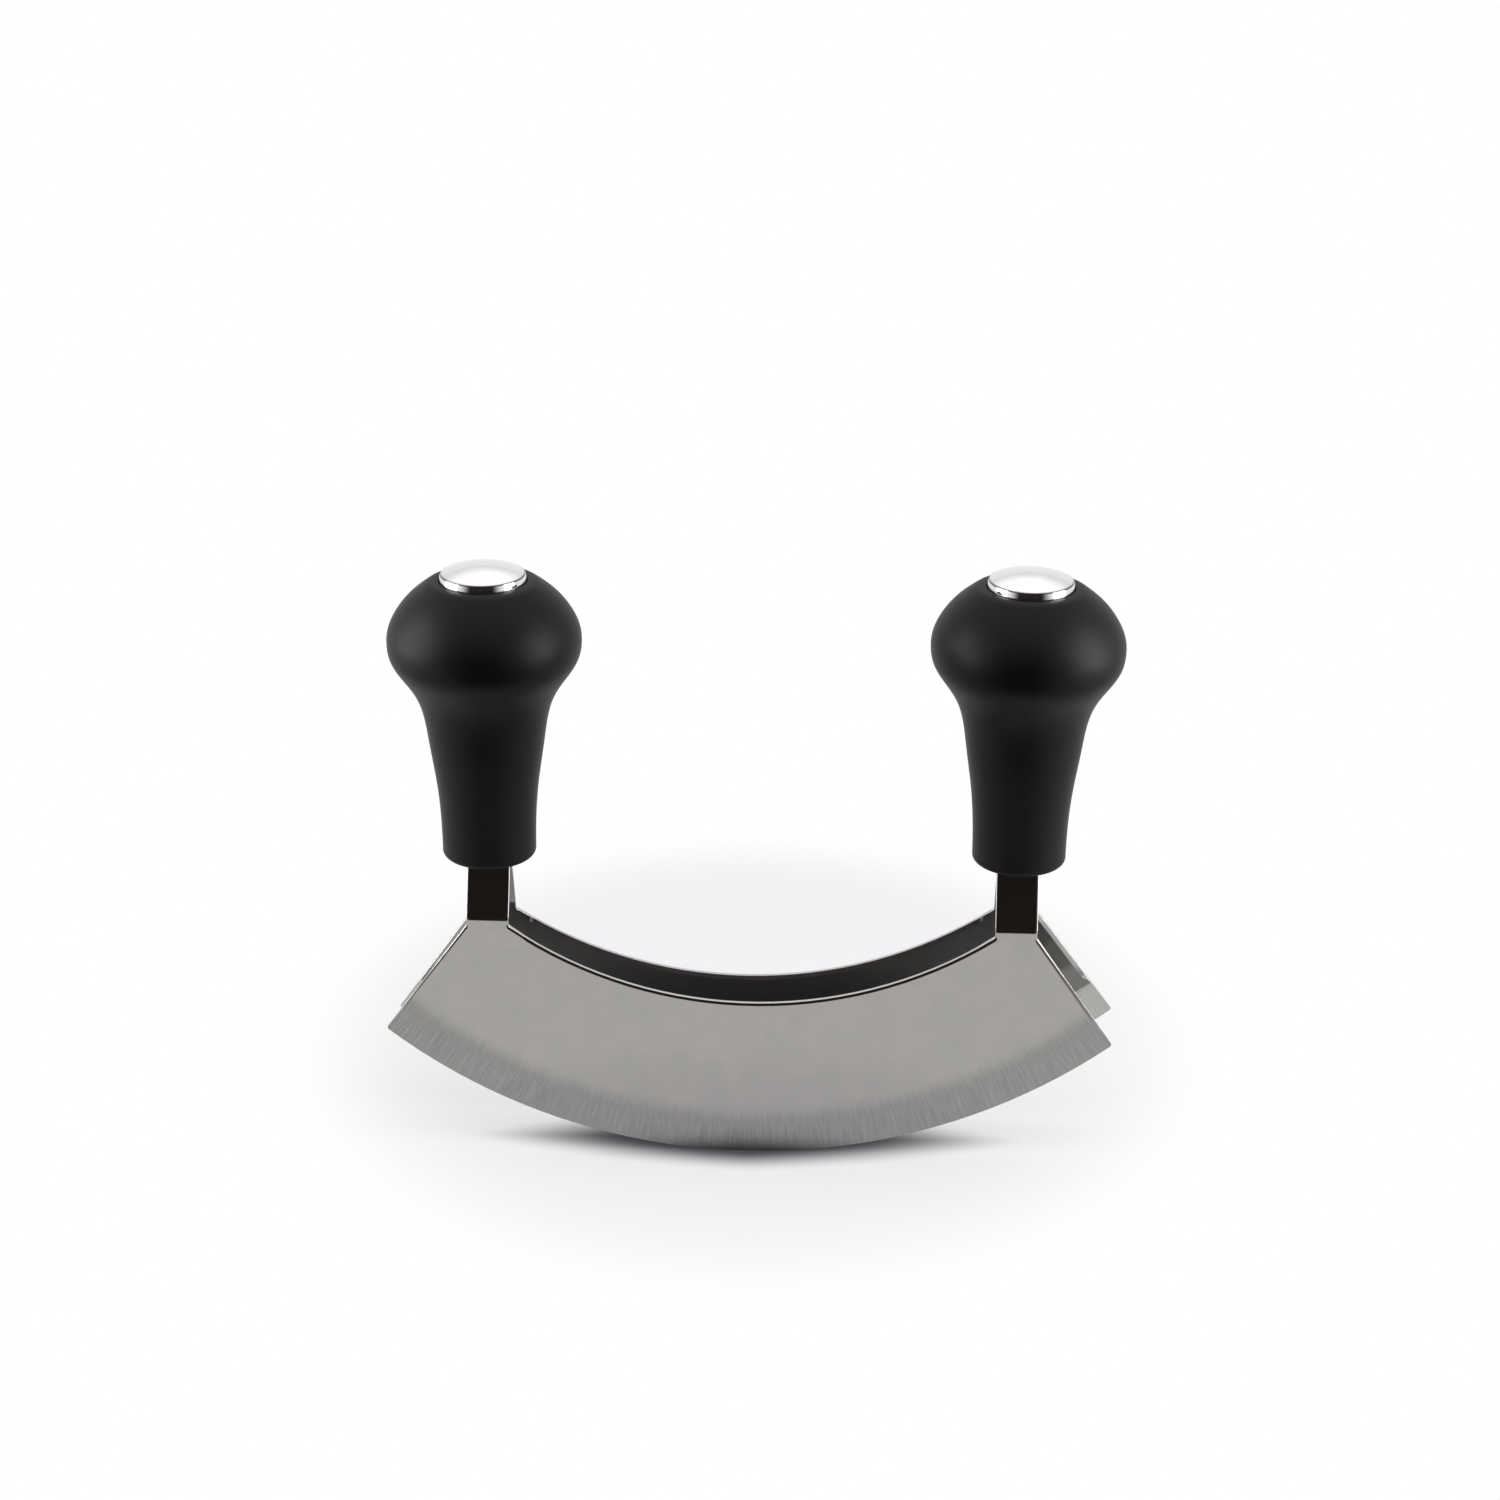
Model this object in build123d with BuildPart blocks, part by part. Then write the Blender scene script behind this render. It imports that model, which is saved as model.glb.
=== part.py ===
"""Double-blade mezzaluna: two crescent blades whose tangs meet inside two upright knob handles.

Millimetres, +Z up. The origin is on the board, under the middle of the blades.
X runs along the blades from the left handle to the right one, and Y from the front blade to the rear one.
"""
from build123d import *
import math
import os

# Blades, both stamped from one sheet
blade_length = 180.0        # from tip to tip
tip_height = 31.7           # the tips, along the blade from the cutting edge's lowest point
spine_height = 41.0         # lowest point of the hollow top edge
shoulder_height = 60.0      # where the top edge and the slanted ends meet the tangs
sheet = 1.5                 # thickness of the stainless sheet
blade_spacing = 12.2        # clear gap between the two blades at the tangs' lower bend
edge_spread = 2.1           # how much further out the cutting edge lies than the tangs' roots
shoulder_radius = 1.2       # inside corners beside the tangs
tip_radius = 0.8            # rounded tips
roll_width = 0.75           # the outer face's outline, rolled over as the sheet was stamped
roll_depth = 0.22

# Ground edge, the same on both faces of a blade
bevel_width = 9.5           # the ground band, from the cutting edge upwards
edge_land = 0.2             # thickness left at the cutting edge

# Tangs
tang_width = 10.3
handle_inset = 25.3         # a handle's axis in from the blade's tip
lean_rise = 14.4            # from the bend up to where front and rear tang come face to face
bend_radius = 2.0           # inside radius of both bends
end_lift = 0.76             # the front blade sits this much high on the left, the rear one on the right

# Grip, a soft sleeve moulded over the core, its heights counted from its foot
foot_gap = 0.4              # the grip's underside above the tangs' upper bend
neck_radius = 11.4
bulb_radius = 23.2
bulb_height = 55.5          # the widest place of the bulb
grip_height = 70.4          # up to the rim of the opening for the cap
opening_radius = 10.6
foot_radius = 1.5           # rounded bottom edge
grip_wall = 2.6             # soft layer over the core
bond_gap = 0.05             # the bonding layer between grip and core

# The grip's outline between those sizes, as shares of the step in radius and in height
neck_shares = ((0.070, 0.306), (0.215, 0.528), (0.401, 0.723), (0.603, 0.806), (0.892, 0.899))
crown_shares = ((0.862, 0.405), (0.553, 0.739), (0.271, 0.933))

# Cap, pressed from sheet and let into the top of the grip
cap_rise = 1.8              # the dome's edge above the grip's rim
dome_height = 2.1           # the dome above its own edge
cap_taper = 0.4             # how much the visible rim draws in on its way up
crease_radius = 0.35        # the rounded crease between the rim and the dome
cap_sheet = 0.8
cap_seat_depth = 4.5        # the skirt's lower edge below the grip's rim
cap_gap = 0.2               # seam between the cap and the grip

# Core, the hard body inside the grip, with a cup for the cap and a pocket for the yoke
cup_wall = 1.6
pocket_height = 32.0        # the pocket's roof above the grip's foot
slip = 0.2                  # clearance of sliding fits

# Yoke, a steel block that straddles both tangs and is tapped at the top
yoke_inset = 2.0            # the yoke's lower end above the core's
yoke_depth = 8.2            # front to back
yoke_web = 2.0              # metal between the slot and the tapped bore
yoke_chamfer = 0.6

# Rivets through the yoke and both tangs
rivet_radius = 1.5
rivet_head_radius = 2.4
rivet_head_depth = 0.9
rivet_gap = 0.04
lower_rivet_share = 0.27    # along the tangs' length inside the yoke
upper_rivet_share = 0.73

# Screw and washer
screw_radius = 2.5
screw_head_radius = 4.75
screw_head_height = 3.2
screw_crown = 1.2           # rounded part of the head's height
screw_chamfer = 0.5
socket_across = 3.0         # hexagon socket, across its flats
socket_depth = 1.9
thread_engagement = 7.0
thread_gap = 0.05
bore_runout = 1.5           # tapped bore below the screw's tip
washer_radius = 5.0
washer_thickness = 1.0
shank_gap = 0.25
well_ledge = 0.4            # how much wider the screw's well is than the washer
head_room = 4.5             # free space over the screw's head

overrun = 1.0               # how far cuts run past what they cut

# Places of the blades, worked out from the sizes above
half_length = blade_length / 2
half_sheet = sheet / 2
blade_plane = blade_spacing / 2 + half_sheet
handle_spacing = blade_length - 2 * handle_inset
tang_inner = (handle_spacing - tang_width) / 2
tang_outer = (handle_spacing + tang_width) / 2
edge_arc_radius = (half_length**2 + tip_height**2) / (2 * tip_height)
tang_root = shoulder_height + shoulder_radius
blade_lean = math.asin(edge_spread / tang_root)
tang_lean = math.atan2(blade_plane - half_sheet, lean_rise)
bend_middle_radius = bend_radius + half_sheet
lower_bend_run = bend_middle_radius * math.tan((blade_lean + tang_lean) / 2)
upper_bend_run = bend_middle_radius * math.tan(tang_lean / 2)
bend_distance = tang_root + lower_bend_run
bend_height = bend_distance * math.cos(blade_lean)
edge_plane = blade_plane + bend_distance * math.sin(blade_lean)
meeting_height = bend_height + lean_rise
blade_turn = math.degrees(math.asin(end_lift / (handle_spacing / 2)))

# Places along a handle's axis, from the foot to the top
grip_foot = meeting_height + upper_bend_run + foot_gap
core_foot = grip_foot + grip_wall
pocket_top = grip_foot + pocket_height
rim_height = grip_foot + grip_height
core_top = rim_height - grip_wall
yoke_bottom = core_foot + yoke_inset
yoke_top = pocket_top - slip
screw_tip = yoke_top - thread_engagement
bore_bottom = screw_tip - bore_runout
slot_top = bore_bottom - yoke_web
tang_top = slot_top - slip - end_lift
cap_seat = rim_height - cap_seat_depth
cap_edge = rim_height + cap_rise
cap_top = cap_edge + dome_height
cap_radius = opening_radius - cap_gap
dome_radius = cap_radius - cap_taper
screw_top = cap_seat - head_room
screw_seat = screw_top - screw_head_height
well_floor = screw_seat - washer_thickness

os.makedirs("parts", exist_ok=True)


def write(piece, name):
    """Label one finished piece and write it as its own file."""
    piece.part.label = name
    export_step(piece.part, f"parts/{name}.step")


def upright_plane(x):
    """The plane of a handle's side profile: X to the right, Z up, through the handle's axis."""
    return Plane(origin=(x, 0, 0), x_dir=(1, 0, 0), z_dir=(0, -1, 0))


def handle_axis(x):
    return Axis((x, 0, 0), (0, 0, 1))


def rivet_heights():
    """Heights of the lower and the upper rivet."""
    length = tang_top - yoke_bottom
    return yoke_bottom + lower_rivet_share * length, yoke_bottom + upper_rivet_share * length


def middle_plane(side):
    """The middle plane of a blade: it leans outwards on its way down to the cutting edge."""
    up = Vector(0, -side * math.sin(blade_lean), math.cos(blade_lean))
    return Plane(origin=(0, side * edge_plane, 0), x_dir=(1, 0, 0), z_dir=Vector(1, 0, 0).cross(up))


def make_blade(name, side):
    """One blade with its two tangs; side is -1 for the front blade and 1 for the rear one."""
    middle = middle_plane(side)
    with BuildPart() as blade:
        # the crescent with the roots of both tangs, rounded beside the tangs
        with BuildSketch(middle) as outline:
            with BuildLine():
                ThreePointArc((-half_length, tip_height), (0, 0), (half_length, tip_height))
                Polyline(
                    (half_length, tip_height),
                    (tang_outer, shoulder_height),
                    (tang_outer, tang_root),
                    (tang_inner, tang_root),
                    (tang_inner, shoulder_height),
                )
                ThreePointArc(
                    (tang_inner, shoulder_height), (0, spine_height), (-tang_inner, shoulder_height)
                )
                Polyline(
                    (-tang_inner, shoulder_height),
                    (-tang_inner, tang_root),
                    (-tang_outer, tang_root),
                    (-tang_outer, shoulder_height),
                    (-half_length, tip_height),
                )
            make_face()
            fillet(outline.vertices().group_by(Axis.Y)[1], radius=shoulder_radius)
        extrude(amount=half_sheet, both=True)

        # the bent tangs
        root_place = edge_plane - shoulder_height * math.sin(blade_lean)
        for x in (-handle_spacing / 2, handle_spacing / 2):
            with BuildSketch(Plane.YZ.offset(x)):
                with BuildLine():
                    FilletPolyline(
                        (side * root_place, shoulder_height * math.cos(blade_lean)),
                        (side * blade_plane, bend_height),
                        (side * half_sheet, meeting_height),
                        (side * half_sheet, tang_top),
                        radius=bend_middle_radius,
                    )
                trace(line_width=sheet)
            extrude(amount=tang_width / 2, both=True)

        # the outer face's outline, rolled over but for the cutting edge and the roots of the tangs
        outwards = Axis(middle.origin, -side * middle.z_dir)
        outer_face = blade.faces().sort_by(outwards)[-1]
        rolled_edges = outer_face.edges().sort_by(Axis.Z)[1:-2]
        chamfer(rolled_edges, length=roll_width, length2=roll_depth, reference=outer_face)

        # the cutting edge, ground from both faces round the arc's centre, and the rounded tips
        arc_centre = middle.origin + middle.y_dir * edge_arc_radius
        for face in (-1, 1):
            with BuildSketch(Plane(origin=middle.origin, x_dir=middle.z_dir, z_dir=-middle.x_dir)):
                with BuildLine():
                    Polyline(
                        (face * half_sheet, bevel_width),
                        (face * edge_land / 2, 0),
                        (face * edge_land / 2, -overrun),
                        (face * (half_sheet + overrun), -overrun),
                        (face * (half_sheet + overrun), bevel_width),
                        close=True,
                    )
                make_face()
            revolve(axis=Axis(arc_centre, middle.z_dir), mode=Mode.SUBTRACT)
        tips = blade.edges().filter_by(Axis(middle.origin, middle.z_dir)).sort_by(Axis.X)
        fillet([tips[0], tips[-1]], radius=tip_radius)

    # turned slightly in its own plane as it is fixed, then drilled in line with the yokes
    lower_height, upper_height = rivet_heights()
    turning_axis = Axis((0, 0, lower_height), (0, 1, 0))
    with BuildPart() as fixed_blade:
        add(blade.part.rotate(turning_axis, -side * blade_turn))
        for x in (-handle_spacing / 2, handle_spacing / 2):
            for height in (lower_height, upper_height):
                with Locations(Plane(origin=(x, 0, height), z_dir=(0, side, 0))):
                    Hole(radius=rivet_radius + rivet_gap, depth=yoke_depth)
    write(fixed_blade, name)


def handle_outline(neck, bulb, opening, foot, bulb_at, top, corner):
    """Half of a handle's side profile, closed along its axis."""
    neck_start = foot + corner
    neck_points = [
        (neck + out * (bulb - neck), neck_start + up * (bulb_at - neck_start)) for out, up in neck_shares
    ]
    crown_points = [
        (opening + out * (bulb - opening), bulb_at + up * (top - bulb_at)) for out, up in crown_shares
    ]
    with BuildLine() as outline:
        Line((0, foot), (neck - corner, foot))
        JernArc(start=(neck - corner, foot), tangent=(1, 0), radius=corner, arc_size=90)
        Spline((neck, neck_start), *neck_points, (bulb, bulb_at), tangents=((0, 1), (0, 1)))
        Spline((bulb, bulb_at), *crown_points, (opening, top), tangents=((0, 1), (-1, 0)))
        Polyline((opening, top), (0, top), (0, foot))
    return outline.line


def core_outline(growth):
    """The core's outline, made larger all round by the given growth."""
    return handle_outline(
        neck_radius - grip_wall + growth,
        bulb_radius - grip_wall + growth,
        opening_radius + cup_wall + growth,
        core_foot - growth,
        grip_foot + bulb_height,
        core_top + growth,
        foot_radius,
    )


def make_grip(name, x):
    """The soft sleeve: closed at its foot but for the tangs' slot, open at the top for the cap."""
    with BuildPart() as grip:
        with BuildSketch(upright_plane(x)):
            add(handle_outline(neck_radius, bulb_radius, opening_radius, grip_foot, grip_foot + bulb_height,
                               rim_height, foot_radius))
            make_face()
        revolve(axis=handle_axis(x))
        with BuildSketch(upright_plane(x)):
            add(core_outline(bond_gap))
            make_face()
        revolve(axis=handle_axis(x), mode=Mode.SUBTRACT)
        with BuildSketch(Plane(origin=(x, 0, core_top))):
            Circle(opening_radius)
        extrude(amount=grip_wall + overrun, mode=Mode.SUBTRACT)
        with BuildSketch(Plane(origin=(x, 0, grip_foot - overrun))):
            Rectangle(tang_width + 2 * slip, 2 * (sheet + slip))
        extrude(amount=grip_wall + 2 * overrun, mode=Mode.SUBTRACT)
    write(grip, name)


def make_core(name, x):
    """The hard body: a pocket from below for the yoke, a well and a cup from above."""
    with BuildPart() as core:
        with BuildSketch(upright_plane(x)):
            add(core_outline(0))
            make_face()
        revolve(axis=handle_axis(x))
        with BuildSketch(Plane(origin=(x, 0, core_foot - overrun))):
            Rectangle(tang_width + 2 * slip, yoke_depth + 2 * slip)
        extrude(amount=pocket_top - core_foot + overrun, mode=Mode.SUBTRACT)
        with Locations((x, 0, core_top)):
            Hole(radius=opening_radius, depth=core_top - cap_seat)
            Hole(radius=washer_radius + well_ledge, depth=core_top - well_floor)
            Hole(radius=screw_radius + shank_gap, depth=core_top - pocket_top + overrun)
    write(core, name)


def make_cap(name, x):
    """The pressed cap: a shallow dome, a rounded crease, a rim and a skirt that stands in the cup."""
    inner_radius = cap_radius - cap_sheet
    inner_dome = dome_radius - cap_sheet
    with BuildPart() as cap:
        with BuildSketch(upright_plane(x)) as section:
            with BuildLine():
                TangentArc((0, cap_top), (dome_radius, cap_edge), tangent=(1, 0))
                TangentArc((cap_radius, rim_height), (dome_radius, cap_edge), tangent=(0, 1))
                Polyline(
                    (cap_radius, rim_height),
                    (cap_radius, cap_seat),
                    (inner_radius, cap_seat),
                    (inner_radius, rim_height),
                    (inner_dome, cap_edge - cap_sheet),
                )
                TangentArc(
                    (0, cap_top - cap_sheet), (inner_dome, cap_edge - cap_sheet), tangent=(1, 0)
                )
                Line((0, cap_top - cap_sheet), (0, cap_top))
            make_face()
            fillet(section.vertices().group_by(Axis.X)[-2], radius=crease_radius)
        revolve(axis=handle_axis(x))
    write(cap, name)


def rivet_outline(growth):
    """Half of a rivet's section along the Y axis, both heads countersunk and flush with the yoke."""
    half = yoke_depth / 2
    shank_end = half - rivet_head_depth
    with BuildLine() as outline:
        Polyline(
            (0, -half),
            (rivet_head_radius + growth, -half),
            (rivet_radius + growth, -shank_end),
            (rivet_radius + growth, shank_end),
            (rivet_head_radius + growth, half),
            (0, half),
            close=True,
        )
    return outline.line


def rivet_plane(x, height):
    """The plane through a rivet's axis, with its Y along the axis."""
    return Plane(origin=(x, 0, height), x_dir=(1, 0, 0), z_dir=(0, 0, 1))


def make_rivet(name, x, height):
    with BuildPart() as rivet:
        with BuildSketch(rivet_plane(x, height)):
            add(rivet_outline(0))
            make_face()
        revolve(axis=Axis((x, 0, height), (0, 1, 0)))
    write(rivet, name)


def make_yoke(name, x):
    """The steel block on the tangs: slotted from below, tapped from above, drilled for the rivets."""
    with BuildPart() as yoke:
        with BuildSketch(Plane(origin=(x, 0, yoke_bottom))):
            Rectangle(tang_width, yoke_depth)
        extrude(amount=yoke_top - yoke_bottom)
        chamfer(yoke.edges().filter_by(Axis.Z), length=yoke_chamfer)
        with BuildSketch(Plane(origin=(x, 0, yoke_bottom - overrun))):
            Rectangle(tang_width + 2 * overrun, 2 * sheet + slip)
        extrude(amount=slot_top - yoke_bottom + overrun, mode=Mode.SUBTRACT)
        with Locations((x, 0, yoke_top)):
            Hole(radius=screw_radius + thread_gap, depth=thread_engagement + bore_runout)
        for height in rivet_heights():
            with BuildSketch(rivet_plane(x, height)):
                add(rivet_outline(rivet_gap))
                make_face()
            revolve(axis=Axis((x, 0, height), (0, 1, 0)), mode=Mode.SUBTRACT)
    write(yoke, name)


def make_screw(name, x):
    """Pan-head screw with a hexagon socket."""
    crown_start = screw_top - screw_crown
    with BuildPart() as screw:
        with BuildSketch(upright_plane(x)):
            with BuildLine():
                Polyline(
                    (0, screw_tip),
                    (screw_radius - screw_chamfer, screw_tip),
                    (screw_radius, screw_tip + screw_chamfer),
                    (screw_radius, screw_seat),
                    (screw_head_radius, screw_seat),
                    (screw_head_radius, crown_start),
                )
                TangentArc((0, screw_top), (screw_head_radius, crown_start), tangent=(1, 0))
                Line((0, screw_top), (0, screw_tip))
            make_face()
        revolve(axis=handle_axis(x))
        with BuildSketch(Plane(origin=(x, 0, screw_top))):
            RegularPolygon(radius=socket_across / 2, side_count=6, major_radius=False)
        extrude(amount=-socket_depth, mode=Mode.SUBTRACT)
    write(screw, name)


def make_washer(name, x):
    with BuildPart() as washer:
        with BuildSketch(Plane(origin=(x, 0, well_floor))):
            Circle(washer_radius)
            Circle(screw_radius + shank_gap, mode=Mode.SUBTRACT)
        extrude(amount=washer_thickness)
    write(washer, name)


make_blade("front_blade", -1)
make_blade("rear_blade", 1)

for hand, x in (("left", -handle_spacing / 2), ("right", handle_spacing / 2)):
    lower_height, upper_height = rivet_heights()
    make_yoke(f"{hand}_yoke", x)
    make_rivet(f"{hand}_lower_rivet", x, lower_height)
    make_rivet(f"{hand}_upper_rivet", x, upper_height)
    make_core(f"{hand}_core", x)
    make_washer(f"{hand}_washer", x)
    make_screw(f"{hand}_screw", x)
    make_grip(f"{hand}_grip", x)
    make_cap(f"{hand}_cap", x)
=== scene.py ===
"""Double-blade mezzaluna: satin crescent blades, soft black knob handles and polished caps.

Metres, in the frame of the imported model: X along the blades, Y from front to rear, Z up.
"""
import math

import bmesh
import bpy
from mathutils import Matrix, Vector


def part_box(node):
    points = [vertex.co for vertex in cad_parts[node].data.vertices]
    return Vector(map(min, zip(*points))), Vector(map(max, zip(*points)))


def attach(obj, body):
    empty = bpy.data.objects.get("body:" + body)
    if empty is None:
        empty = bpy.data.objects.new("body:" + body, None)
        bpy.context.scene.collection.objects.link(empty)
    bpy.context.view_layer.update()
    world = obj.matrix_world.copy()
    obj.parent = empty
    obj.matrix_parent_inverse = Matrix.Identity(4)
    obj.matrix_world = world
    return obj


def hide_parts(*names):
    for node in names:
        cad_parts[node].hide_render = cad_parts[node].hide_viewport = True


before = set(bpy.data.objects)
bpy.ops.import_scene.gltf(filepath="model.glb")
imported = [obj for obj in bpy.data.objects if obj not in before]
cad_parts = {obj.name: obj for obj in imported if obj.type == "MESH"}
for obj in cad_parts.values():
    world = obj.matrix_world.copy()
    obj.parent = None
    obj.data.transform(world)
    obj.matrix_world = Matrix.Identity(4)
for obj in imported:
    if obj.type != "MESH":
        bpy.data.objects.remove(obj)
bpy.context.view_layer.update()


# The two blades. Each is one stamping of stainless sheet with its tangs, rolled to a fine
# satin, ground on both faces along the cutting edge, and tumbled so that its corners are soft.
edge_arc_radius = 0.14361
edge_offset = 0.00897
shoulder_height = 0.0592
blade_lean = math.radians(1.966)
blade_turn = math.radians(0.673)
cutting_land = 0.0012          # along the cutting edge, where no corner is softened
edge_softness = 0.00018
softening_steps = 3
inner_roll_width = 0.00105
inner_roll_depth = 0.00042
roll_fade_at_tang = 0.003
roll_fade_at_band = 0.004
outline_pitch = 0.0015         # between the points that the rolled outline is bent at

weld_distance = 0.000001
same_place_digits = 7
coplanar = math.radians(0.1)   # within which a face is the flat inner face
flat_tolerance = math.radians(0.4)
crisp_roll = math.radians(7)
softened_corner = math.radians(30)
crisp_corner = math.radians(60)
face_slant = 0.6               # of a normal in Y, below which a face is a sheared edge
outer_slot, sheared_slot, inner_slot = 0, 1, 2

patch_detail = 4.0
patch_roughness = 0.55
patch_low = 0.3
patch_high = 0.7
satin_patch = 0.006
sheared_patch = 0.0015

ground_width = 0.0106
ground_blend = 0.0028
grind_pitch = 0.00055
grind_length = 0.008
grind_depth = 0.000004
grind_detail = 3.0
grind_low = 0.35
grind_high = 0.65

satin_roughness = 0.11
sheared_roughness = 0.25
# The sheared edges are a lighter steel than the faces: a painted highlight, which brightens the thin bright
# line along the blades' outlines.
sheared_highlight_colour = (0.52, 0.51, 0.50, 1.0)
sheared_highlight_tint = (0.47, 0.46, 0.46, 1.0)
outer_finish = {
    "satin": (0.380, 0.364, 0.347, 1.0),
    "satin tint": (0.354, 0.347, 0.335, 1.0),
    "ground": (0.333, 0.326, 0.316, 1.0),
    "grinding line": (0.270, 0.265, 0.258, 1.0),
    "ground roughness": 0.36,
    "metal share": 1.0,
}
# The inner faces: a lighter copy of the outer steel, with a small matt share. This is painted light,
# standing in for the light that reaches the faces in the narrow gap between the blades.
lightened_inner_finish = {
    "satin": (0.435, 0.430, 0.415, 1.0),
    "satin tint": (0.415, 0.410, 0.400, 1.0),
    "ground": (0.425, 0.420, 0.405, 1.0),
    "grinding line": (0.390, 0.385, 0.375, 1.0),
    "ground roughness": 0.13,
    "metal share": 0.945,
}


def new_material(name):
    """A material and what is needed to fill it: its nodes, its links and its shader."""
    material = bpy.data.materials.new(name)
    material.use_nodes = True
    tree = material.node_tree
    return material, tree.nodes, tree.links, tree.nodes["Principled BSDF"]


def add_place(nodes):
    """The place of a surface point on its object."""
    return nodes.new("ShaderNodeTexCoord").outputs["Object"]


def add_axes(nodes, links, vector):
    """A vector's X, Y and Z, each by itself."""
    axes = nodes.new("ShaderNodeSeparateXYZ")
    links.new(vector, axes.inputs["Vector"])
    return axes.outputs


def add_math(nodes, links, operation, first, second=0.0):
    """One Math node; each input is a socket or a number."""
    node = nodes.new("ShaderNodeMath")
    node.operation = operation
    for socket, value in zip(node.inputs, (first, second)):
        if isinstance(value, (int, float)):
            socket.default_value = value
        else:
            links.new(value, socket)
    return node.outputs[0]


def add_range(nodes, links, value, start, end, first, last, course="LINEAR"):
    """A change from first to last as the given value passes from start to end."""
    change = nodes.new("ShaderNodeMapRange")
    change.interpolation_type = course
    change.inputs["From Min"].default_value = start
    change.inputs["From Max"].default_value = end
    change.inputs["To Min"].default_value = first
    change.inputs["To Max"].default_value = last
    links.new(value, change.inputs["Value"])
    return change.outputs["Result"]


def add_fade(nodes, links, value, start, end, first, last):
    """The same change, eased at its start and its end."""
    return add_range(nodes, links, value, start, end, first, last, course="SMOOTHSTEP")


def add_colour_mix(nodes, links, mask, first, second):
    """A colour between two others, by a mask."""
    node = nodes.new("ShaderNodeMix")
    node.data_type = "RGBA"
    links.new(mask, node.inputs["Factor"])
    for socket, value in ((node.inputs["A"], first), (node.inputs["B"], second)):
        if isinstance(value, tuple):
            socket.default_value = value
        else:
            links.new(value, socket)
    return node.outputs["Result"]


def mottle_group():
    """Soft uneven patches, as rolled, plated or moulded surfaces have: a mask from 0 to 1."""
    group = bpy.data.node_groups.new("soft_mottle", "ShaderNodeTree")
    group.interface.new_socket("Patch size", in_out="INPUT", socket_type="NodeSocketFloat")
    group.interface.new_socket("Mask", in_out="OUTPUT", socket_type="NodeSocketFloat")
    nodes, links = group.nodes, group.links
    entry = nodes.new("NodeGroupInput")
    leave = nodes.new("NodeGroupOutput")
    patches = nodes.new("ShaderNodeTexNoise")
    patches.inputs["Detail"].default_value = patch_detail
    patches.inputs["Roughness"].default_value = patch_roughness
    links.new(add_place(nodes), patches.inputs["Vector"])
    links.new(add_math(nodes, links, "DIVIDE", 1.0, entry.outputs["Patch size"]), patches.inputs["Scale"])
    mask = add_range(nodes, links, patches.outputs["Fac"], patch_low, patch_high, 0.0, 1.0)
    links.new(mask, leave.inputs["Mask"])
    return group


soft_mottle = mottle_group()


def add_mottle(nodes, patch_size):
    """The mottle group placed in a material, with its own patch size."""
    node = nodes.new("ShaderNodeGroup")
    node.node_tree = soft_mottle
    node.inputs["Patch size"].default_value = patch_size
    return node.outputs["Mask"]


def blade_frame(side):
    """A blade's own frame: its edge arc's centre, and the lean and the turn that it is fixed with."""
    lean = Matrix.Rotation(side * blade_lean, 3, "X")
    turn = Matrix.Rotation(-side * blade_turn, 3, "Y")
    low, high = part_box("left_lower_rivet")
    pivot = Vector((0, 0, (low[2] + high[2]) / 2))
    centre = Vector((0, side * edge_offset, 0)) + lean @ Vector((0, 0, edge_arc_radius))
    return pivot + turn @ (centre - pivot), turn @ lean


def satin_blade_material(name, side, finish):
    """Satin sheet with a ground band whose fine lines run square to the cutting edge."""
    material, nodes, links, shader = new_material(name)
    shader.inputs["Metallic"].default_value = finish["metal share"]
    centre, turning = blade_frame(side)
    in_blade = nodes.new("ShaderNodeMapping")
    in_blade.vector_type = "TEXTURE"
    in_blade.inputs["Location"].default_value = centre
    in_blade.inputs["Rotation"].default_value = turning.to_euler()
    links.new(add_place(nodes), in_blade.inputs["Vector"])
    axes = add_axes(nodes, links, in_blade.outputs["Vector"])
    down = add_math(nodes, links, "MULTIPLY", axes["Z"], -1.0)
    squares = [add_math(nodes, links, "POWER", length, 2.0) for length in (axes["X"], down)]
    radius = add_math(nodes, links, "SQRT", add_math(nodes, links, "ADD", *squares))
    angle = add_math(nodes, links, "ARCTAN2", axes["X"], down)
    arc_length = add_math(nodes, links, "MULTIPLY", angle, edge_arc_radius)
    band_radius = edge_arc_radius - ground_width
    band = add_fade(
        nodes, links, radius, band_radius - ground_blend, band_radius + ground_blend, 0.0, 1.0
    )

    stretch = nodes.new("ShaderNodeCombineXYZ")
    links.new(add_math(nodes, links, "DIVIDE", arc_length, grind_pitch), stretch.inputs["X"])
    links.new(add_math(nodes, links, "DIVIDE", radius, grind_length), stretch.inputs["Y"])
    scratches = nodes.new("ShaderNodeTexNoise")
    scratches.inputs["Scale"].default_value = 1.0
    scratches.inputs["Detail"].default_value = grind_detail
    links.new(stretch.outputs["Vector"], scratches.inputs["Vector"])
    lines = add_range(nodes, links, scratches.outputs["Fac"], grind_low, grind_high, 0.0, 1.0)

    mottle = add_mottle(nodes, satin_patch)
    satin = add_colour_mix(nodes, links, mottle, finish["satin"], finish["satin tint"])
    ground = add_colour_mix(nodes, links, lines, finish["ground"], finish["grinding line"])
    links.new(add_colour_mix(nodes, links, band, satin, ground), shader.inputs["Base Color"])
    roughness = add_range(nodes, links, band, 0.0, 1.0, satin_roughness, finish["ground roughness"])
    links.new(roughness, shader.inputs["Roughness"])
    bump = nodes.new("ShaderNodeBump")
    bump.inputs["Distance"].default_value = grind_depth
    links.new(add_math(nodes, links, "MULTIPLY", lines, band), bump.inputs["Height"])
    links.new(bump.outputs["Normal"], shader.inputs["Normal"])
    return material


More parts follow.
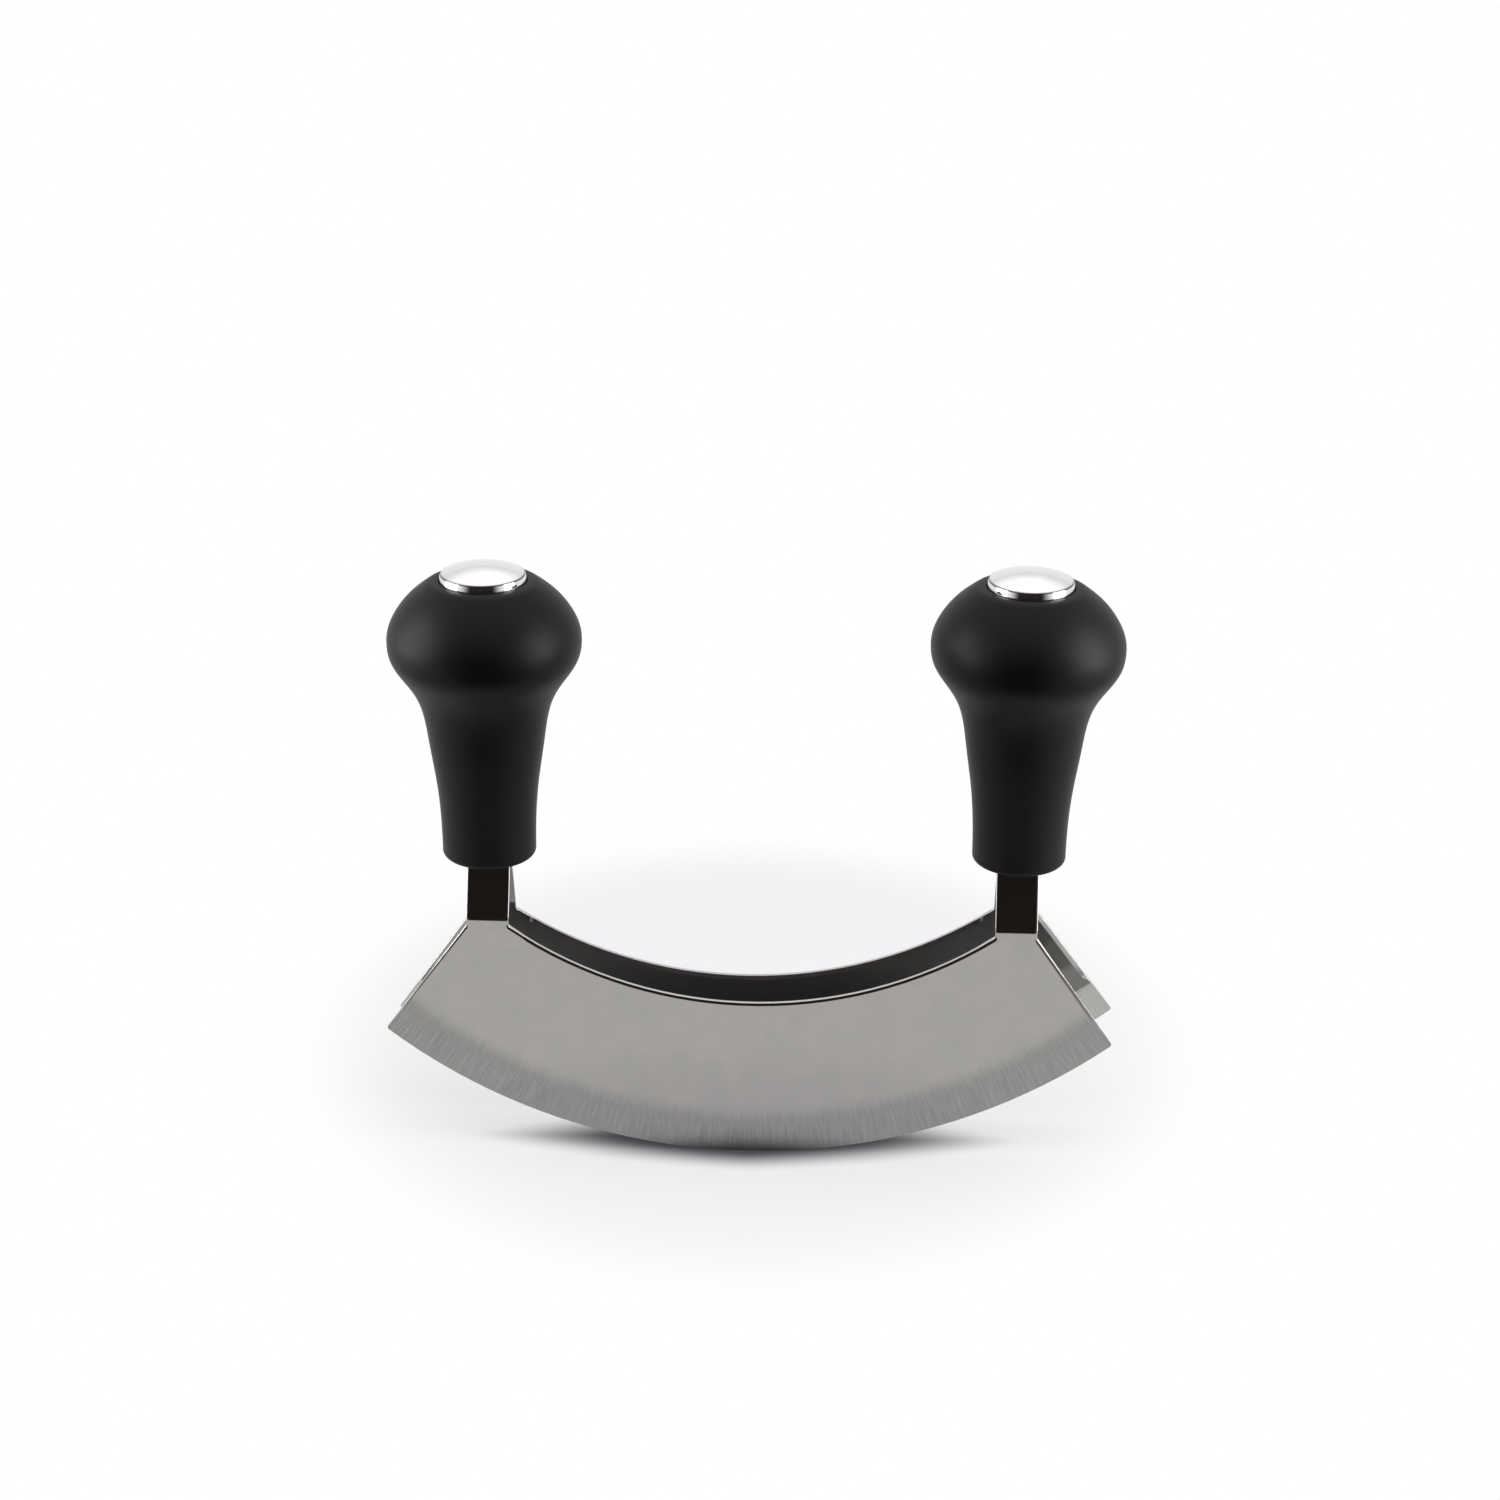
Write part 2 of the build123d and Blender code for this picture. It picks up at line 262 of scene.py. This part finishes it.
def roll_inner_outline(shape, side, centre, turning):
    """Roll the inner face's outline over a little, fading out at the ground band and the tangs."""
    inwards = turning @ Vector((0, -side, 0))
    facing = [face for face in shape.faces if face.normal.angle(inwards) < coplanar]
    inner = max(facing, key=lambda face: face.calc_area())
    for edge in list(inner.edges):
        cuts = round(edge.calc_length() / outline_pitch) - 1
        if cuts > 0:
            bmesh.ops.subdivide_edges(shape, edges=[edge], cuts=cuts)

    def spot(vertex):
        return tuple(round(length, same_place_digits) for length in vertex.co)

    outline = {spot(vertex) for vertex in inner.verts}
    bmesh.ops.inset_region(
        shape, faces=[inner], thickness=inner_roll_width, depth=0.0, use_even_offset=True, use_boundary=True
    )
    for vertex in [vertex for vertex in shape.verts if spot(vertex) in outline]:
        place = turning.transposed() @ (vertex.co - centre)
        from_tang = (shoulder_height - place.z - edge_arc_radius) / roll_fade_at_tang
        from_band = (edge_arc_radius - ground_width - math.hypot(place.x, place.z)) / roll_fade_at_band
        share = max(0.0, min(1.0, from_tang, from_band))
        vertex.co -= inwards * inner_roll_depth * share


# The sheared edges' lighter colour is a painted highlight along the outlines.
highlighted_sheared_steel, nodes, links, shader = new_material("highlighted_sheared_steel")
shader.inputs["Metallic"].default_value = 1.0
shader.inputs["Roughness"].default_value = sheared_roughness
mottle = add_mottle(nodes, sheared_patch)
links.new(add_colour_mix(nodes, links, mottle, sheared_highlight_colour, sheared_highlight_tint), shader.inputs["Base Color"])


def make_blade(node, name, side):
    """The stamping with its corners softened, all but those of the cutting edge."""
    shape = bmesh.new()
    shape.from_mesh(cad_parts[node].data)
    bmesh.ops.remove_doubles(shape, verts=shape.verts, dist=weld_distance)
    bmesh.ops.dissolve_limit(
        shape, angle_limit=flat_tolerance, verts=shape.verts, edges=shape.edges,
        use_dissolve_boundaries=False,
    )
    centre, turning = blade_frame(side)
    roll_inner_outline(shape, side, centre, turning)

    def is_corner(edge):
        places = [turning.transposed() @ (vertex.co - centre) for vertex in edge.verts]
        reach = max(math.hypot(place.x, place.z) for place in places)
        on_cutting_edge = reach > edge_arc_radius - cutting_land and places[0].z < 0
        return edge.is_manifold and edge.calc_face_angle(0.0) > softened_corner and not on_cutting_edge

    corners = [edge for edge in shape.edges if is_corner(edge)]
    bmesh.ops.bevel(
        shape, geom=corners, offset=edge_softness, offset_type="OFFSET", affect="EDGES",
        segments=softening_steps, profile=0.5, material=-1, clamp_overlap=True,
    )
    for face in shape.faces:
        face.smooth = True
        outwards = face.normal.y * side
        if abs(outwards) < face_slant:
            face.material_index = sheared_slot
        elif outwards > 0:
            face.material_index = outer_slot
        else:
            face.material_index = inner_slot
    for edge in shape.edges:
        angle = edge.calc_face_angle(0.0)
        below_tang = all(vertex.co.z < shoulder_height for vertex in edge.verts)
        in_face = all(abs(face.normal.y) > face_slant for face in edge.link_faces)
        on_roll = angle > crisp_roll and below_tang and in_face
        edge.smooth = not (angle > crisp_corner or on_roll)

    mesh = bpy.data.meshes.new(name)
    shape.to_mesh(mesh)
    shape.free()
    mesh.materials.append(satin_blade_material(f"{name}_outer_steel", side, outer_finish))
    mesh.materials.append(highlighted_sheared_steel)
    # The inner faces get the lighter copy of the steel: painted light for the gap between the blades.
    mesh.materials.append(satin_blade_material(f"{name}_lightened_inner_steel", side, lightened_inner_finish))
    piece = bpy.data.objects.new(name, mesh)
    bpy.context.scene.collection.objects.link(piece)
    weighting = piece.modifiers.new("flat_faces", "WEIGHTED_NORMAL")
    weighting.keep_sharp = True
    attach(piece, "root")
    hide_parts(node)


make_blade("front_blade", "front_satin_blade", -1)
make_blade("rear_blade", "rear_satin_blade", 1)


# Yokes, rivets, washers and screws: zinc-plated steel inside the handles, riveted on the
# tangs and drawn up by the screws. The plating is slightly cloudy.
plating_colour = (0.60, 0.61, 0.60, 1.0)
plating_cloud_colour = (0.50, 0.51, 0.49, 1.0)
plating_patch = 0.003
plating_smoothest = 0.28
plating_roughest = 0.42

plated_steel, nodes, links, shader = new_material("zinc_plated_steel")
shader.inputs["Metallic"].default_value = 1.0
cloud = add_mottle(nodes, plating_patch)
plating = add_colour_mix(nodes, links, cloud, plating_colour, plating_cloud_colour)
links.new(plating, shader.inputs["Base Color"])
plating_roughness = add_range(nodes, links, cloud, 0.0, 1.0, plating_smoothest, plating_roughest)
links.new(plating_roughness, shader.inputs["Roughness"])
for hand in ("left", "right"):
    for part in ("yoke", "lower_rivet", "upper_rivet", "washer", "screw"):
        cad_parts[f"{hand}_{part}"].material_slots[0].material = plated_steel


# The cores: hard black plastic bodies, moulded with a fine matt grain that the soft grip
# is moulded over.
core_colour = (0.030, 0.030, 0.031, 1.0)
core_worn_colour = (0.042, 0.042, 0.043, 1.0)
core_roughness = 0.5
core_grain_size = 0.0004
core_grain_depth = 0.00002
grain_detail = 2.0


def grain_group():
    """A fine moulded grain: the normal that it gives, and its height."""
    group = bpy.data.node_groups.new("moulded_grain", "ShaderNodeTree")
    for name in ("Grain size", "Grain depth"):
        group.interface.new_socket(name, in_out="INPUT", socket_type="NodeSocketFloat")
    group.interface.new_socket("Normal", in_out="OUTPUT", socket_type="NodeSocketVector")
    group.interface.new_socket("Height", in_out="OUTPUT", socket_type="NodeSocketFloat")
    nodes, links = group.nodes, group.links
    entry = nodes.new("NodeGroupInput")
    leave = nodes.new("NodeGroupOutput")
    grain = nodes.new("ShaderNodeTexNoise")
    grain.inputs["Detail"].default_value = grain_detail
    links.new(add_place(nodes), grain.inputs["Vector"])
    links.new(add_math(nodes, links, "DIVIDE", 1.0, entry.outputs["Grain size"]), grain.inputs["Scale"])
    bump = nodes.new("ShaderNodeBump")
    links.new(grain.outputs["Fac"], bump.inputs["Height"])
    links.new(entry.outputs["Grain depth"], bump.inputs["Distance"])
    links.new(bump.outputs["Normal"], leave.inputs["Normal"])
    links.new(grain.outputs["Fac"], leave.inputs["Height"])
    return group


moulded_grain = grain_group()


def add_grain(nodes, size, depth):
    """The grain group placed in a material, with its own size and depth."""
    node = nodes.new("ShaderNodeGroup")
    node.node_tree = moulded_grain
    node.inputs["Grain size"].default_value = size
    node.inputs["Grain depth"].default_value = depth
    return node.outputs


core_plastic, nodes, links, shader = new_material("core_plastic")
shader.inputs["Roughness"].default_value = core_roughness
grain = add_grain(nodes, core_grain_size, core_grain_depth)
links.new(grain["Normal"], shader.inputs["Normal"])
worn = add_colour_mix(nodes, links, grain["Height"], core_colour, core_worn_colour)
links.new(worn, shader.inputs["Base Color"])
for hand in ("left", "right"):
    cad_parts[f"{hand}_core"].material_slots[0].material = core_plastic


# The grips: soft-touch elastomer moulded over the cores. It is black and matt, with a very
# fine grain and slightly duller patches.
grip_colour = (0.0012, 0.0014, 0.0020, 1.0)
grip_dull_colour = (0.0018, 0.0020, 0.0028, 1.0)
grip_patch = 0.006
grip_roughness = 0.46
grip_specular_level = 0.12
grip_grain_size = 0.00025
grip_grain_depth = 0.000008

soft_grip, nodes, links, shader = new_material("soft_touch_grip")
shader.inputs["Roughness"].default_value = grip_roughness
shader.inputs["Specular IOR Level"].default_value = grip_specular_level
grain = add_grain(nodes, grip_grain_size, grip_grain_depth)
links.new(grain["Normal"], shader.inputs["Normal"])
dull = add_colour_mix(nodes, links, add_mottle(nodes, grip_patch), grip_colour, grip_dull_colour)
links.new(dull, shader.inputs["Base Color"])
for hand in ("left", "right"):
    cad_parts[f"{hand}_grip"].material_slots[0].material = soft_grip


# The caps: pressed stainless, polished after pressing, with a faint haze. A thin dark line is painted along
# the crease between dome and rim: painted shade, which stands in for the dark reflection in the tight bend.
cap_colour = (0.75, 0.75, 0.75, 1.0)
cap_haze_colour = (0.72, 0.72, 0.72, 1.0)
cap_patch = 0.004
cap_smoothest = 0.10
cap_roughest = 0.12
painted_crease_shade_colour = (0.06, 0.06, 0.06, 1.0)
crease_below_top = 0.0022
crease_half_width = 0.00032

polished_cap, nodes, links, shader = new_material("polished_cap_steel")
shader.inputs["Metallic"].default_value = 1.0
haze = add_mottle(nodes, cap_patch)
polished = add_colour_mix(nodes, links, haze, cap_colour, cap_haze_colour)
crease_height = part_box("left_cap")[1][2] - crease_below_top
height = add_axes(nodes, links, add_place(nodes))["Z"]
from_crease = add_math(nodes, links, "ABSOLUTE", add_math(nodes, links, "SUBTRACT", height, crease_height))
# The painted shade along the crease between dome and rim.
painted_crease_shade = add_fade(nodes, links, from_crease, 0.0, crease_half_width, 1.0, 0.0)
links.new(add_colour_mix(nodes, links, painted_crease_shade, polished, painted_crease_shade_colour), shader.inputs["Base Color"])
cap_roughness = add_range(nodes, links, haze, 0.0, 1.0, cap_smoothest, cap_roughest)
links.new(cap_roughness, shader.inputs["Roughness"])
for hand in ("left", "right"):
    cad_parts[f"{hand}_cap"].material_slots[0].material = polished_cap


# The floor: a pale matt table top that turns white away from the part. A soft contact shadow under the
# blades is painted into its colour. Where the camera and reflections see the floor, it also glows: painted
# light, pale grey near the part as a painted halo of shade, and white further out.
floor_size = 6.0
floor_colour = (0.88, 0.88, 0.90, 1.0)
shaded_floor_colour = (0.075, 0.071, 0.080, 1.0)
white = (1.0, 1.0, 1.0, 1.0)
# The glow's pale grey near the part is a painted halo of shade.
grey_halo_glow_colour = (0.75, 0.75, 0.757, 1.0)
near_glow_share = 0.60
glow_centre = (0.0, 0.055, 0.0)
glow_radii = (0.125, 0.135, 1.0)
glow_start = 0.60
glow_end = 1.02
shade_centre = (-0.0010, -0.0026, 0.0)
shade_radii = (0.0512, 0.0122, 1.0)
shade_roundness = 1.37
shade_start = 0.58
shade_end = 1.42


def add_stage(name, shape, material):
    """A thing of the room, which isn't part of the object."""
    mesh = bpy.data.meshes.new(name)
    shape.to_mesh(mesh)
    shape.free()
    mesh.materials.append(material)
    thing = bpy.data.objects.new(name, mesh)
    bpy.context.scene.collection.objects.link(thing)
    return thing


def make_matt(shader):
    """No gloss at all: the surface only scatters light."""
    shader.inputs["Roughness"].default_value = 1.0
    shader.inputs["Specular IOR Level"].default_value = 0.0


def add_blend(nodes, links, share, first, second):
    """Two shaders blended by a share, as the surface of the material."""
    blend = nodes.new("ShaderNodeMixShader")
    for socket, value in zip(blend.inputs, (share, first, second)):
        links.new(value, socket)
    links.new(blend.outputs["Shader"], nodes["Material Output"].inputs["Surface"])


def add_seen_mask(nodes, links):
    """1 where the camera, a reflection or a clear piece sees the surface, and 0 for its light."""
    path = nodes.new("ShaderNodeLightPath")
    seen = add_math(nodes, links, "MAXIMUM", path.outputs["Is Camera Ray"], path.outputs["Is Glossy Ray"])
    return add_math(nodes, links, "MAXIMUM", seen, path.outputs["Is Transmission Ray"])


def add_ellipse_place(nodes, links, centre, radii):
    """The place counted from an ellipse's centre in its own radii."""
    ellipse = nodes.new("ShaderNodeMapping")
    ellipse.vector_type = "TEXTURE"
    ellipse.inputs["Location"].default_value = centre
    ellipse.inputs["Scale"].default_value = radii
    links.new(add_place(nodes), ellipse.inputs["Vector"])
    return ellipse.outputs["Vector"]


def add_ellipse_reach(nodes, links, centre, radii):
    """How far out a place lies in an ellipse: 0 at its centre and 1 on its outline."""
    reach = nodes.new("ShaderNodeVectorMath")
    reach.operation = "LENGTH"
    links.new(add_ellipse_place(nodes, links, centre, radii), reach.inputs[0])
    return reach.outputs["Value"]


pale_floor, nodes, links, shader = new_material("pale_floor")
make_matt(shader)
shade_axes = add_axes(nodes, links, add_ellipse_place(nodes, links, shade_centre, shade_radii))
shade_steps = []
for axis in ("X", "Y"):
    step = add_math(nodes, links, "ABSOLUTE", shade_axes[axis])
    shade_steps.append(add_math(nodes, links, "POWER", step, shade_roundness))
shade_sum = add_math(nodes, links, "ADD", *shade_steps)
shade_reach = add_math(nodes, links, "POWER", shade_sum, 1.0 / shade_roundness)
# The painted contact shadow under the blades.
shade = add_fade(nodes, links, shade_reach, shade_start, shade_end, 1.0, 0.0)
lit_colour = add_colour_mix(nodes, links, shade, floor_colour, shaded_floor_colour)
links.new(lit_colour, shader.inputs["Base Color"])
glow_reach = add_ellipse_reach(nodes, links, glow_centre, glow_radii)
whitening = add_fade(nodes, links, glow_reach, glow_start, glow_end, 0.0, 1.0)
glow_share = add_fade(nodes, links, glow_reach, glow_start, glow_end, near_glow_share, 1.0)
# The glow: painted light, grey near the part as painted shade, white further out.
glow_colour = add_colour_mix(nodes, links, whitening, grey_halo_glow_colour, white)
glow = nodes.new("ShaderNodeEmission")
# The painted contact shadow darkens the glow as well.
links.new(add_colour_mix(nodes, links, shade, glow_colour, shaded_floor_colour), glow.inputs["Color"])
seen_share = add_math(nodes, links, "MULTIPLY", glow_share, add_seen_mask(nodes, links))
add_blend(nodes, links, seen_share, shader.outputs["BSDF"], glow.outputs["Emission"])
floor_shape = bmesh.new()
bmesh.ops.create_grid(floor_shape, x_segments=1, y_segments=1, size=floor_size / 2)
add_stage("floor", floor_shape, pale_floor)


# The dark screen: matt cloth laid on the table in front of the part and carried up round it.
# The camera doesn't see it; the tangs and the caps' rims mirror it. Both its ends fade out
# softly, so that no hard edge is mirrored.
screen_colour = (0.042, 0.033, 0.031, 1.0)
screen_distance = 1.0
screen_foot = 0.002
screen_top = 0.85
screen_half_angle = math.radians(80)
screen_steps = 36
screen_left_end = math.radians(-46)
screen_right_end = math.radians(41)
screen_softness = math.radians(15)
cloth_start = 0.21
cloth_widening = 4.0

dark_screen, nodes, links, shader = new_material("dark_screen")
shader.inputs["Base Color"].default_value = screen_colour
make_matt(shader)
axes = add_axes(nodes, links, add_place(nodes))
angle = add_math(nodes, links, "ARCTAN2", axes["X"], add_math(nodes, links, "MULTIPLY", axes["Y"], -1.0))
end_masks = [
    add_fade(nodes, links, angle, end - screen_softness, end + screen_softness, before, 1.0 - before)
    for end, before in ((screen_left_end, 0.0), (screen_right_end, 1.0))
]
cover = add_math(nodes, links, "MULTIPLY", *end_masks)
clear = nodes.new("ShaderNodeBsdfTransparent")
add_blend(nodes, links, cover, clear.outputs["BSDF"], shader.outputs["BSDF"])

screen_shape = bmesh.new()
left_ray = Matrix.Rotation(-screen_half_angle, 3, "Z") @ Vector((0, -1, 0))
screen_outline = [
    left_ray * cloth_start + Vector((0, 0, screen_foot)),
    left_ray * screen_distance + Vector((0, 0, screen_foot)),
    left_ray * screen_distance + Vector((0, 0, screen_top)),
]
screen_posts = [screen_shape.verts.new(corner) for corner in screen_outline]
screen_edges = [screen_shape.edges.new(pair) for pair in zip(screen_posts, screen_posts[1:])]
bmesh.ops.spin(
    screen_shape, geom=screen_posts + screen_edges, cent=(0, 0, 0), axis=(0, 0, 1),
    angle=2 * screen_half_angle, steps=screen_steps, use_merge=False,
)
near_row = [vertex for vertex in screen_shape.verts if vertex.co.length < screen_distance / 2]
for vertex in near_row:
    vertex.co.y = -cloth_start
    vertex.co.x *= cloth_widening
screen = add_stage("dark_screen", screen_shape, dark_screen)
screen.visible_camera = False


# The knob card: a dark matt card that lies level in front of the handles, below the knobs.
# Only reflections see it, and it keeps the fronts of the knobs dark.
knob_card_height = 0.068
knob_card_near = 0.055
knob_card_far = 0.20
knob_card_half_width = 0.105


def show_in_reflections_only(thing):
    """Hidden from the camera, and without light or shadow of its own on the part."""
    thing.visible_camera = False
    thing.visible_diffuse = False
    thing.visible_shadow = False


dark_card, nodes, links, shader = new_material("dark_card")
shader.inputs["Base Color"].default_value = screen_colour
make_matt(shader)
card_shape = bmesh.new()
bmesh.ops.create_grid(card_shape, x_segments=1, y_segments=1, size=1.0)
bmesh.ops.scale(
    card_shape, verts=card_shape.verts,
    vec=(knob_card_half_width, (knob_card_far - knob_card_near) / 2, 1.0),
)
bmesh.ops.translate(
    card_shape, verts=card_shape.verts, vec=(0, -(knob_card_far + knob_card_near) / 2, knob_card_height)
)
show_in_reflections_only(add_stage("knob_card", card_shape, dark_card))


# The overhead sheet: a glowing white sheet, brightest over and behind the part, which only
# reflections see. The domes of the caps mirror it.
sheet_height = 1.20
sheet_half_size = 2.5
sheet_centre = (0.0, 0.30, sheet_height)
sheet_radii = (1.5, 1.9, 1.0)
sheet_peak_start = 0.1
sheet_peak = 1.60
sheet_outer_level = 0.93

overhead_white, nodes, links, shader = new_material("overhead_white")
nodes.remove(shader)
sheet_reach = add_ellipse_reach(nodes, links, sheet_centre, sheet_radii)
sheet_level = add_fade(nodes, links, sheet_reach, sheet_peak_start, 1.0, sheet_peak, sheet_outer_level)
sheet_glow = nodes.new("ShaderNodeEmission")
links.new(sheet_level, sheet_glow.inputs["Strength"])
links.new(sheet_glow.outputs["Emission"], nodes["Material Output"].inputs["Surface"])
sheet_shape = bmesh.new()
bmesh.ops.create_grid(sheet_shape, x_segments=1, y_segments=1, size=sheet_half_size)
bmesh.ops.translate(sheet_shape, verts=sheet_shape.verts, vec=(0, 0, sheet_height))
show_in_reflections_only(add_stage("overhead_sheet", sheet_shape, overhead_white))


# The light: an even pale room that is plain white where it is seen, and two soft upright
# lamps, one at each side of the part.
room_light = 0.62
lamp_colour = (0.96, 0.975, 1.0)
lamp_height = 0.24
lamp_distance = 0.50
lamp_upright_size = 0.44
lamp_aim = Vector((0.0, 0.0, 0.12))

world = bpy.data.worlds.new("pale_room")
world.use_nodes = True
bpy.context.scene.world = world
nodes, links = world.node_tree.nodes, world.node_tree.links
background = nodes["Background"]
background.inputs["Color"].default_value = white
level = add_range(nodes, links, add_seen_mask(nodes, links), 0.0, 1.0, room_light, 1.0)
links.new(level, background.inputs["Strength"])


def add_side_lamp(name, bearing, width, power):
    """A soft lamp at a bearing from the part's front, turned towards the part."""
    light = bpy.data.lights.new(name, "AREA")
    light.shape = "RECTANGLE"
    light.size = width
    light.size_y = lamp_upright_size
    light.energy = power
    light.color = lamp_colour
    lamp = bpy.data.objects.new(name, light)
    place = Matrix.Rotation(math.radians(bearing), 3, "Z") @ Vector((0, -lamp_distance, lamp_height))
    facing = (lamp_aim - place).to_track_quat("-Z", "Y").to_matrix().to_4x4()
    lamp.matrix_world = Matrix.Translation(place) @ facing
    lamp.visible_camera = False
    bpy.context.scene.collection.objects.link(lamp)


add_side_lamp("left_soft_lamp", bearing=-86, width=0.36, power=3.2)
add_side_lamp("right_soft_lamp", bearing=77, width=0.30, power=3.9)


# The camera: in front of the part and slightly above it, with a long lens. Its place was
# fitted to the blades' tips and shoulders, the knobs and the caps.
camera_pitch = math.radians(22.057)
camera_turn = math.radians(0.522)
camera_roll = math.radians(0.561)
camera_offset = Vector((-0.000270, 0.097395, 0.763208))
lens_length = 72.0
sensor_size = 36.0

camera_data = bpy.data.cameras.new("camera")
camera_data.lens = lens_length
camera_data.sensor_width = sensor_size
camera_data.sensor_height = sensor_size
camera = bpy.data.objects.new("camera", camera_data)
bpy.context.scene.collection.objects.link(camera)
camera.matrix_world = (
    Matrix.Rotation(camera_turn, 4, "Z")
    @ Matrix.Rotation(math.pi / 2 - camera_pitch, 4, "X")
    @ Matrix.Rotation(camera_roll, 4, "Z")
    @ Matrix.Translation(camera_offset)
)
bpy.context.scene.camera = camera

bpy.context.scene.view_settings.view_transform = "Standard"
